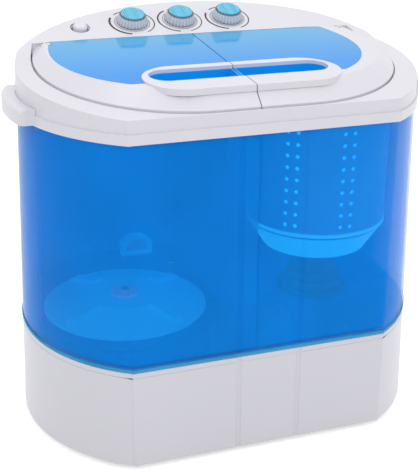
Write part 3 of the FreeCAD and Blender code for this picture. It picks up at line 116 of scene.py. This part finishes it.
def moulded_group():
    """Moulded plastic: slow waves in the wall, fine grain, and a cloudy shift in colour."""
    group = new_group(
        "moulded_surface",
        [("Colour", (0.8, 0.8, 0.8, 1.0)), ("Shift", 0.04), ("Grain", 0.02), ("Wave", 0.05)],
        [
            ("Colour", "NodeSocketColor"),
            ("Roughness", "NodeSocketFloat"),
            ("Normal", "NodeSocketVector"),
        ],
    )
    source = make(group, "NodeGroupInput")
    result = make(group, "NodeGroupOutput")
    place = make(group, "ShaderNodeTexCoord")
    cloud = make(group, "ShaderNodeTexNoise")
    cloud.inputs["Scale"].default_value = 9.0
    grain = make(group, "ShaderNodeTexNoise")
    grain.inputs["Scale"].default_value = 900.0
    wave = make(group, "ShaderNodeTexNoise")
    wave.inputs["Scale"].default_value = 7.0
    wave.inputs["Detail"].default_value = 0.0
    for texture in (cloud, grain, wave):
        link(group, place, "Object", texture, "Vector")
    centred = make(group, "ShaderNodeMath", operation="SUBTRACT")
    centred.inputs[1].default_value = 0.5
    link(group, cloud, "Fac", centred, 0)
    amount = make(group, "ShaderNodeMath", operation="MULTIPLY")
    link(group, centred, 0, amount, 0)
    link(group, source, "Shift", amount, 1)
    value = make(group, "ShaderNodeMath", operation="ADD")
    value.inputs[1].default_value = 1.0
    link(group, amount, 0, value, 0)
    tone = make(group, "ShaderNodeHueSaturation")
    link(group, source, "Colour", tone, "Color")
    link(group, value, 0, tone, "Value")
    link(group, tone, "Color", result, "Colour")
    rough = make(group, "ShaderNodeMapRange")
    rough.inputs["To Min"].default_value = 0.9
    rough.inputs["To Max"].default_value = 1.15
    link(group, cloud, "Fac", rough, "Value")
    link(group, rough, "Result", result, "Roughness")
    low = make(group, "ShaderNodeBump")
    low.inputs["Distance"].default_value = 0.004
    link(group, source, "Wave", low, "Strength")
    link(group, wave, "Fac", low, "Height")
    fine = make(group, "ShaderNodeBump")
    fine.inputs["Distance"].default_value = 0.0002
    link(group, source, "Grain", fine, "Strength")
    link(group, grain, "Fac", fine, "Height")
    link(group, low, "Normal", fine, "Normal")
    link(group, fine, "Normal", result, "Normal")
    return group


def brushed_group():
    """Drawn or turned metal: fine scratches along one direction."""
    group = new_group(
        "drawn_metal",
        [("Colour", (0.6, 0.6, 0.6, 1.0)), ("Depth", 0.1)],
        [("Colour", "NodeSocketColor"), ("Normal", "NodeSocketVector")],
    )
    source = make(group, "NodeGroupInput")
    result = make(group, "NodeGroupOutput")
    place = make(group, "ShaderNodeTexCoord")
    stretch = make(group, "ShaderNodeMapping")
    stretch.inputs["Scale"].default_value = (40.0, 40.0, 1600.0)
    scratch = make(group, "ShaderNodeTexNoise")
    scratch.inputs["Scale"].default_value = 1.0
    link(group, place, "Object", stretch, "Vector")
    link(group, stretch, "Vector", scratch, "Vector")
    spread = make(group, "ShaderNodeMapRange")
    spread.inputs["To Min"].default_value = 0.85
    spread.inputs["To Max"].default_value = 1.1
    link(group, scratch, "Fac", spread, "Value")
    tone = make(group, "ShaderNodeHueSaturation")
    link(group, source, "Colour", tone, "Color")
    link(group, spread, "Result", tone, "Value")
    link(group, tone, "Color", result, "Colour")
    bump = make(group, "ShaderNodeBump")
    bump.inputs["Distance"].default_value = 0.0002
    link(group, source, "Depth", bump, "Strength")
    link(group, scratch, "Fac", bump, "Height")
    link(group, bump, "Normal", result, "Normal")
    return group


MOULDED = moulded_group()
DRAWN = brushed_group()


# ---- Materials -------------------------------------------------------------------------------


def new_material(name, **sockets):
    """A material with its shader's plain values set on the shader itself."""
    material = bpy.data.materials.new(name)
    material.use_nodes = True
    shader = material.node_tree.nodes["Principled BSDF"]
    for label, value in sockets.items():
        shader.inputs[label.replace("_", " ")].default_value = value
    return material, material.node_tree, shader


def plastic(name, colour, roughness, shift=0.03, grain=0.03, wave=0.05, **sockets):
    material, tree, shader = new_material(name, **sockets)
    surface = make(tree, "ShaderNodeGroup", node_tree=MOULDED)
    surface.inputs["Colour"].default_value = (*colour, 1.0)
    surface.inputs["Shift"].default_value = shift
    surface.inputs["Grain"].default_value = grain
    surface.inputs["Wave"].default_value = wave
    scale = make(tree, "ShaderNodeMath", operation="MULTIPLY")
    scale.inputs[1].default_value = roughness
    link(tree, surface, "Roughness", scale, 0)
    link(tree, scale, 0, shader, "Roughness")
    link(tree, surface, "Colour", shader, "Base Color")
    link(tree, surface, "Normal", shader, "Normal")
    return material


def metal(name, colour, roughness, depth=0.1):
    material, tree, shader = new_material(name, Metallic=1.0, Roughness=roughness)
    surface = make(tree, "ShaderNodeGroup", node_tree=DRAWN)
    surface.inputs["Colour"].default_value = (*colour, 1.0)
    surface.inputs["Depth"].default_value = depth
    link(tree, surface, "Colour", shader, "Base Color")
    link(tree, surface, "Normal", shader, "Normal")
    return material


def between(tree, source, out, ends):
    """A value that goes from nought to one as a measure goes from one end to the other."""
    reach = make(tree, "ShaderNodeMapRange")
    reach.inputs["From Min"].default_value, reach.inputs["From Max"].default_value = ends
    link(tree, source, out, reach, "Value")
    return reach


def along_axis(tree, axis, ends):
    """A value that goes from nought to one between two places along an axis."""
    place = make(tree, "ShaderNodeTexCoord")
    split = make(tree, "ShaderNodeSeparateXYZ")
    link(tree, place, "Object", split, "Vector")
    return between(tree, split, axis, ends)


def blended(tree, reach, stops):
    """A colour ramp driven by a value; its stops are places and colours."""
    ramp = make(tree, "ShaderNodeValToRGB")
    elements = ramp.color_ramp.elements
    for element, (position, colour) in zip(elements, (stops[0], stops[-1])):
        element.position = position
        element.color = (*colour, 1.0)
    for position, colour in stops[1:-1]:
        elements.new(position).color = (*colour, 1.0)
    link(tree, reach, "Result", ramp, "Fac")
    return ramp


def shade(tree, reach, stops):
    """Colours a moulded surface by a ramp in place of its one colour."""
    surface = next(node for node in tree.nodes if node.type == "GROUP")
    link(tree, blended(tree, reach, stops), "Color", surface, "Colour")


def shell_blue():
    """See-through blue: clear in front, solid behind, with a painted highlight along its foot and a band of
    painted shade just above it.
    """
    wall = (0.001, 0.32, 0.98)
    painted_lip_highlight = (0.02, 0.50, 0.90)
    painted_crease_shade = (0.001, 0.12, 0.60)
    material = plastic(
        "tub_shell_blue", wall, 0.18, shift=0.35, wave=0.25, Specular_IOR_Level=0.10
    )
    tree = material.node_tree
    # A painted highlight along the shell's foot, with a band of painted shade just above it.
    stops = [(0.0, painted_lip_highlight), (0.22, painted_lip_highlight), (0.26, painted_crease_shade), (0.55, wall)]
    shade(tree, along_axis(tree, "Z", SHELL_FOOT), stops)
    depth = along_axis(tree, "Y", SHELL_CLEAR_TO_SOLID)
    depth.inputs["To Min"].default_value = 0.42
    link(tree, depth, "Result", tree.nodes["Principled BSDF"], "Alpha")
    return material


def basket_blue():
    """The basket's blue, with a painted glow (emission) where light inside it would show through the holes and
    along the bead.
    """
    painted_glow = (0.03, 0.62, 1.0)
    dark = (0.0, 0.0, 0.0)
    material = plastic("basket_blue", (0.03, 0.50, 1.0), 0.3, shift=0.08, Emission_Strength=0.8)
    tree = material.node_tree
    place = make(tree, "ShaderNodeTexCoord")
    offset = make(tree, "ShaderNodeVectorMath", operation="SUBTRACT")
    offset.inputs[1].default_value = Vector(joint_of("basket")["pos_m"])
    level = make(tree, "ShaderNodeVectorMath", operation="MULTIPLY")
    level.inputs[1].default_value = (1.0, 1.0, 0.0)
    radius = make(tree, "ShaderNodeVectorMath", operation="LENGTH")
    link(tree, place, "Object", offset, 0)
    link(tree, offset, 0, level, 0)
    link(tree, level, 0, radius, 0)
    reach = between(tree, radius, "Value", BASKET_WALL_TO_BEAD)
    # Painted glow: emission at the wall and the bead stands in for light showing through from inside.
    stops = [(0.0, painted_glow), (0.12, painted_glow), (0.25, dark), (0.75, dark), (1.0, painted_glow)]
    ramp = blended(tree, reach, stops)
    link(tree, ramp, "Color", tree.nodes["Principled BSDF"], "Emission Color")
    return material


def window_blue():
    """The lids' see-through panes: paler towards the back, a painted reflection of the white control panel."""
    front = (0.005, 0.30, 0.88)
    painted_reflection_pale = (0.08, 0.44, 0.80)
    looks = {"shift": 0.10, "wave": 0.10, "Alpha": 0.93, "Specular_IOR_Level": 0.15}
    material = plastic("window_blue", front, 0.08, **looks)
    tree = material.node_tree
    # The paler colour towards the back is a painted reflection of the white panel.
    shade(tree, along_axis(tree, "Y", PANE_FRONT_TO_REAR), [(0.0, front), (1.0, painted_reflection_pale)])
    return material


def knob_silver():
    """The knobs' fluted skirt, with painted shade: darker at its foot by the panel, and a dark rim of painted
    shade just below the cap.
    """
    foot = (0.35, 0.37, 0.41)
    pale = (0.62, 0.65, 0.70)
    rim = (0.16, 0.17, 0.19)
    material = plastic("knob_silver", pale, 0.22)
    tree = material.node_tree
    joint = joint_of("selector")
    normal = -Vector(joint["axis"])
    panel = normal.dot(Vector(joint["pos_m"]))
    place = make(tree, "ShaderNodeTexCoord")
    height = make(tree, "ShaderNodeVectorMath", operation="DOT_PRODUCT")
    height.inputs[1].default_value = normal
    link(tree, place, "Object", height, 0)
    reach = between(tree, height, "Value", (panel, panel + KNOB_SHADE_HEIGHT * MM))
    # Painted shade: darker at the foot by the panel and in a dark rim just below the cap.
    shade(tree, reach, [(0.0, foot), (0.3, pale), (0.78, pale), (0.86, rim)])
    return material


def knob_cyan():
    """The knob caps: light blue, with fine darker lines of painted shade between their ribs."""
    dark = (0.03, 0.36, 0.58)
    pale = (0.22, 0.70, 0.88)
    material = plastic("knob_cap_cyan", pale, 0.25)
    tree = material.node_tree
    place = make(tree, "ShaderNodeTexCoord")
    lines = make(tree, "ShaderNodeTexWave", bands_direction="X")
    lines.inputs["Scale"].default_value = 120.0
    link(tree, place, "Object", lines, "Vector")
    # The darker lines between the ribs are painted shade in the grooves.
    shade(tree, between(tree, lines, "Fac", (0.0, 1.0)), [(0.25, dark), (0.6, pale)])
    return material


def net_weave():
    """The lint net: a fine square mesh."""
    material, tree, shader = new_material("lint_net", Roughness=0.7)
    place = make(tree, "ShaderNodeTexCoord")
    weave = make(tree, "ShaderNodeTexBrick", offset=0.0)
    weave.inputs["Scale"].default_value = 600.0
    weave.inputs["Color1"].default_value = (0.25, 0.5, 0.8, 1.0)
    weave.inputs["Color2"].default_value = (0.22, 0.45, 0.75, 1.0)
    weave.inputs["Mortar"].default_value = (0.7, 0.85, 0.95, 1.0)
    link(tree, place, "Object", weave, "Vector")
    link(tree, weave, "Color", shader, "Base Color")
    bump = make(tree, "ShaderNodeBump")
    bump.inputs["Strength"].default_value = 0.4
    bump.inputs["Distance"].default_value = 0.0003
    link(tree, weave, "Fac", bump, "Height")
    link(tree, bump, "Normal", shader, "Normal")
    return material


MATERIALS = {
    "white_plastic": plastic("lavender_white", (0.71, 0.70, 0.76), 0.30, Coat_Weight=0.15),
    "base_plastic": plastic("base_white", (0.66, 0.65, 0.70), 0.34, Coat_Weight=0.15),
    "blue_shell": shell_blue(),
    "blue_window": window_blue(),
    "blue_tray": plastic(
        "tray_blue", (0.005, 0.36, 0.86), 0.20, shift=0.08, Specular_IOR_Level=0.2
    ),
    "blue_fittings": plastic(
        "fitting_blue",
        (0.06, 0.72, 1.0),
        0.35,
        shift=0.08,
        # Painted glow: this emission stands in for light scattered through the fittings' blue plastic.
        Emission_Color=(0.01, 0.32, 0.75, 1.0),
        Emission_Strength=0.3,
    ),
    "pale_fittings": plastic("fitting_pale", (0.45, 0.78, 0.97), 0.35),
    "net": net_weave(),
    "knob_cap": knob_cyan(),
    "knob_skirt": knob_silver(),
    "inner_plastic": plastic("inner_white", (0.72, 0.72, 0.74), 0.45),
    "dark_plastic": plastic("dark_case", (0.03, 0.03, 0.035), 0.5, grain=0.1),
    "rubber": plastic("black_rubber", (0.02, 0.02, 0.022), 0.75, shift=0.2, grain=0.3),
    "steel": metal("drawn_steel", (0.55, 0.55, 0.57), 0.32),
    "motor_paint": plastic("motor_enamel", (0.06, 0.065, 0.075), 0.4, grain=0.15),
    "capacitor": plastic("capacitor_case", (0.5, 0.51, 0.54), 0.4),
}
OWN_MATERIALS = {"spin_basket": basket_blue()}


# ---- Smoothed copies of the CAD pieces -------------------------------------------------------

# The width of each piece's rounded edges, in millimetres.
BEVELS = {
    "top_cover": 1.6,
    "collar_band": 1.0,
    "base_housing": 1.0,
    "wash_lid_frame": 0.8,
    "spin_lid_frame": 0.8,
    "tub_shell": 0.0,
    "wash_lid_tray": 0.5,
    "spin_lid_tray": 0.5,
    "wash_lid_window": 0.3,
    "spin_lid_window": 0.3,
    "control_panel": 0.3,
    "water_inlet": 0.4,
    "inlet_cap": 0.4,
    "pulsator": 0.6,
    "pulsator_cap": 0.6,
    "spin_basket": 0.4,
    "basket_cover": 0.5,
    "lint_filter_frame": 0.8,
    "feet": 0.6,
    "cord_gland": 0.4,
    "drain_spigot": 0.5,
    "wash_timer_knob_cap": 0.2,
    "selector_knob_cap": 0.2,
    "spin_timer_knob_cap": 0.2,
}


def merged_copy(node):
    """The CAD piece's mesh with its loose triangles joined and its flat faces made whole."""
    mesh = bpy.data.meshes.new(node + "_skin")
    shape = bmesh.new()
    shape.from_mesh(NODES[node].data)
    bmesh.ops.remove_doubles(shape, verts=shape.verts, dist=SAME_POINT)
    bmesh.ops.dissolve_limit(
        shape, angle_limit=FLAT_ANGLE, verts=shape.verts, edges=shape.edges
    )
    for edge in shape.edges:
        edge.smooth = edge.is_manifold and edge.calc_face_angle(0) < SHARP_ANGLE
    for face in shape.faces:
        face.smooth = True
    shape.to_mesh(mesh)
    shape.free()
    return mesh


def settle(name, mesh, body, slot, material=None):
    """Links a finished mesh as a piece that rides on a body."""
    piece = bpy.data.objects.new(name, mesh)
    bpy.context.scene.collection.objects.link(piece)
    mesh.materials.clear()
    mesh.materials.append(material or MATERIALS[slot])
    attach(piece, body)
    return piece


def skinned(node, width):
    own = OWN_MATERIALS.get(node)
    piece = settle(node + "_skin", merged_copy(node), BODY_OF[node], SLOT_OF[node], own)
    if width:
        bevel = piece.modifiers.new("edge", "BEVEL")
        bevel.width = width * MM
        bevel.segments = 2
        bevel.limit_method = "ANGLE"
        bevel.angle_limit = BEVEL_ANGLE
        bevel.use_clamp_overlap = True
        bevel.harden_normals = False
    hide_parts(node)


# ---- Places on the control panel -------------------------------------------------------------


def panel_frame(node):
    """Where a knob's axis meets the panel, and the turn that lays a shape on the panel."""
    joint = joint_of(BODY_OF[node])
    up = -Vector(joint["axis"])
    across = Vector((1, 0, 0))
    along = up.cross(across)
    turn = Matrix((across, along, up)).transposed().to_4x4()
    return Matrix.Translation(Vector(joint["pos_m"])) @ turn


def arc_band(shape, inner, outer, start, end):
    """A flat band along an arc, swept from a short edge."""
    near = bmesh.ops.create_vert(shape, co=(inner * MM, 0, INK_TOP * MM))["vert"]
    edge = bmesh.ops.extrude_vert_indiv(shape, verts=near)
    bmesh.ops.translate(shape, verts=edge["verts"], vec=((outer - inner) * MM, 0, 0))
    ends = near + edge["verts"]
    turn = Matrix.Rotation(math.radians(start), 4, "Z")
    bmesh.ops.transform(shape, matrix=turn, verts=ends)
    bmesh.ops.spin(
        shape,
        geom=ends + edge["edges"],
        cent=(0, 0, 0),
        axis=(0, 0, 1),
        dvec=(0, 0, 0),
        angle=math.radians(end - start),
        steps=int((end - start) / ARC_STEP_DEGREES),
        use_merge=end - start == 360,
    )


def printed_dial(name, node, arcs):
    """The printed rings round a knob: a thin grey ring and broken black arcs outside it."""
    place = panel_frame(node)
    ink = plastic(name + "_ink", (0.012, 0.012, 0.014), 0.45)
    pale = plastic(name + "_grey", (0.33, 0.34, 0.37), 0.45)
    for label, material, bands in (("arcs", ink, arcs), ("ring", pale, [GREY_RING])):
        shape = bmesh.new()
        for inner, outer, start, end in bands:
            arc_band(shape, inner, outer, start, end)
        made = bmesh.ops.extrude_face_region(shape, geom=shape.faces[:])
        bmesh.ops.translate(shape, verts=verts_in(made["geom"]), vec=(0, 0, -INK_THICKNESS * MM))
        bmesh.ops.recalc_face_normals(shape, faces=shape.faces)
        bmesh.ops.transform(shape, matrix=place, verts=shape.verts)
        mesh = bpy.data.meshes.new(name + "_" + label)
        shape.to_mesh(mesh)
        shape.free()
        settle(name + "_" + label, mesh, "housing", "white_plastic", material)


def verts_in(geometry):
    return [item for item in geometry if isinstance(item, bmesh.types.BMVert)]


def ring_edges(verts):
    members = set(verts)
    found = {e for v in verts for e in v.link_edges if set(e.verts) <= members}
    return list(found)


def fluted_knob(node):
    """A silver skirt with upright flutes all round, tapering to the seat of its cap."""
    points = FLUTES * POINTS_PER_FLUTE
    top = KNOB_LEVELS[-1][2]
    shape = bmesh.new()
    rings = []
    for crest, valley, z in KNOB_LEVELS:
        ring = bmesh.ops.create_circle(shape, segments=points, radius=MM)["verts"]
        for i, vert in enumerate(ring):
            reach = crest if i % POINTS_PER_FLUTE in (0, 1) else valley
            vert.co = Vector((vert.co.x, vert.co.y, 0)).normalized() * reach * MM
            vert.co.z = z * MM
        rings.append(ring)
    for low, high in zip(rings, rings[1:]):
        edges = [e for ring in (low, high) for e in ring_edges(ring)]
        bmesh.ops.bridge_loops(shape, edges=edges)
    painted_lip_highlight = bmesh.ops.extrude_edge_only(shape, edges=ring_edges(rings[-1]))["geom"]
    inner = verts_in(painted_lip_highlight)
    for vert in inner:
        vert.co = Vector((vert.co.x, vert.co.y, 0)).normalized() * CAP_SEAT_RADIUS * MM
        vert.co.z = top * MM
    drop = bmesh.ops.extrude_edge_only(shape, edges=ring_edges(inner))["geom"]
    floor = verts_in(drop)
    bmesh.ops.translate(shape, verts=floor, vec=(0, 0, -CAP_SEAT_DEPTH * MM))
    bmesh.ops.contextual_create(shape, geom=ring_edges(floor))
    bmesh.ops.contextual_create(shape, geom=ring_edges(rings[0]))
    bmesh.ops.recalc_face_normals(shape, faces=shape.faces)
    bmesh.ops.transform(shape, matrix=panel_frame(node), verts=shape.verts)
    mesh = bpy.data.meshes.new(node + "_fluted")
    for face in shape.faces:
        face.smooth = len(face.verts) == 4
    for edge in shape.edges:
        edge.smooth = edge.calc_face_angle(0) < FLUTE_ANGLE
    shape.to_mesh(mesh)
    shape.free()
    piece = settle(node + "_fluted", mesh, BODY_OF[node], SLOT_OF[node])
    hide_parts(node)


# ---- Build the pieces ------------------------------------------------------------------------

for node_name, edge_width in BEVELS.items():
    skinned(node_name, edge_width)

for knob_node in ("wash_timer_knob", "selector_knob", "spin_timer_knob"):
    fluted_knob(knob_node)

# Each arc has an inner and an outer radius in millimetres, and its two ends in degrees.
DIALS = {
    "wash_dial": ("wash_timer_knob", [(29.4, 32.4, 150, 256), (29.8, 31.4, 300, 492)]),
    "selector_dial": ("selector_knob", [(29.6, 31.8, 120, 256), (29.8, 31.2, 284, 470)]),
    "spin_dial": ("spin_timer_knob", [(29.4, 32.0, 150, 256), (29.8, 31.4, 290, 490)]),
}
for dial_name, (dial_node, dial_arcs) in DIALS.items():
    printed_dial(dial_name, dial_node, dial_arcs)

for node_name, node in NODES.items():
    node.data.materials.clear()
    node.data.materials.append(MATERIALS[SLOT_OF[node_name]])


# ---- Stage, light and camera -----------------------------------------------------------------


def set_world():
    world = bpy.data.worlds.new("studio")
    bpy.context.scene.world = world
    world.use_nodes = True
    tree = world.node_tree
    back = tree.nodes["Background"]
    back.inputs["Color"].default_value = (1.0, 1.0, 1.0, 1.0)
    path = make(tree, "ShaderNodeLightPath")
    seen = make(tree, "ShaderNodeMath", operation="MAXIMUM")
    link(tree, path, "Is Camera Ray", seen, 0)
    link(tree, path, "Is Glossy Ray", seen, 1)
    through = make(tree, "ShaderNodeMath", operation="MAXIMUM")
    link(tree, seen, 0, through, 0)
    link(tree, path, "Is Transmission Ray", through, 1)
    level = make(tree, "ShaderNodeMapRange")
    level.inputs["To Min"].default_value = WORLD_ON_OBJECT
    link(tree, through, 0, level, "Value")
    link(tree, level, "Result", back, "Strength")


def set_floor():
    shape = bmesh.new()
    bmesh.ops.create_grid(shape, x_segments=4, y_segments=4, size=4.0)
    mesh = bpy.data.meshes.new("studio_floor")
    shape.to_mesh(mesh)
    shape.free()
    floor = bpy.data.objects.new("studio_floor", mesh)
    bpy.context.scene.collection.objects.link(floor)
    material, tree, shader = new_material("studio_floor", Roughness=0.9)
    shader.inputs["Base Color"].default_value = (0.92, 0.92, 0.92, 1.0)
    shader.inputs["Emission Color"].default_value = (1.0, 1.0, 1.0, 1.0)
    path = make(tree, "ShaderNodeLightPath")
    seen = make(tree, "ShaderNodeMath", operation="MAXIMUM")
    link(tree, path, "Is Camera Ray", seen, 0)
    link(tree, path, "Is Glossy Ray", seen, 1)
    level = make(tree, "ShaderNodeMath", operation="MULTIPLY")
    level.inputs[1].default_value = FLOOR_GLOW
    link(tree, seen, 0, level, 0)
    link(tree, level, 0, shader, "Emission Strength")
    mesh.materials.append(material)


def add_lamp(name, size, power, place, aim):
    data = bpy.data.lights.new(name, "AREA")
    data.shape = "RECTANGLE"
    data.size, data.size_y = size
    data.energy = power
    lamp = bpy.data.objects.new(name, data)
    bpy.context.scene.collection.objects.link(lamp)
    lamp.location = place
    lamp.rotation_euler = (Vector(aim) - Vector(place)).to_track_quat("-Z", "Y").to_euler()


def add_camera():
    pitch, yaw, roll = (math.radians(a) for a in (22.0, 19.56, 0.54))
    ahead = Vector(
        (math.sin(yaw) * math.cos(pitch), math.cos(yaw) * math.cos(pitch), -math.sin(pitch))
    )
    side = Vector((math.cos(yaw), -math.sin(yaw), 0))
    rise = side.cross(ahead)
    right = side * math.cos(roll) + rise * math.sin(roll)
    up = rise * math.cos(roll) - side * math.sin(roll)
    data = bpy.data.cameras.new("studio_camera")
    data.sensor_width = 36.0
    data.lens = 77.88
    data.clip_end = 50.0
    camera = bpy.data.objects.new("studio_camera", data)
    bpy.context.scene.collection.objects.link(camera)
    turn = Matrix((right, up, -ahead)).transposed().to_4x4()
    camera.matrix_world = Matrix.Translation((-0.4506, -1.2390, 0.7626)) @ turn
    bpy.context.scene.camera = camera


set_world()
set_floor()
add_lamp("key", (1.2, 1.2), 14.0, (-1.2, -1.4, 1.9), (0, 0, 0.35))
add_lamp("fill", (1.6, 1.2), 8.0, (1.6, -1.2, 1.2), (0, 0, 0.3))
add_lamp("top", (1.6, 1.0), 10.0, (0.0, 0.4, 2.2), (0, 0, 0.4))
add_camera()
bpy.context.scene.view_settings.view_transform = "Standard"
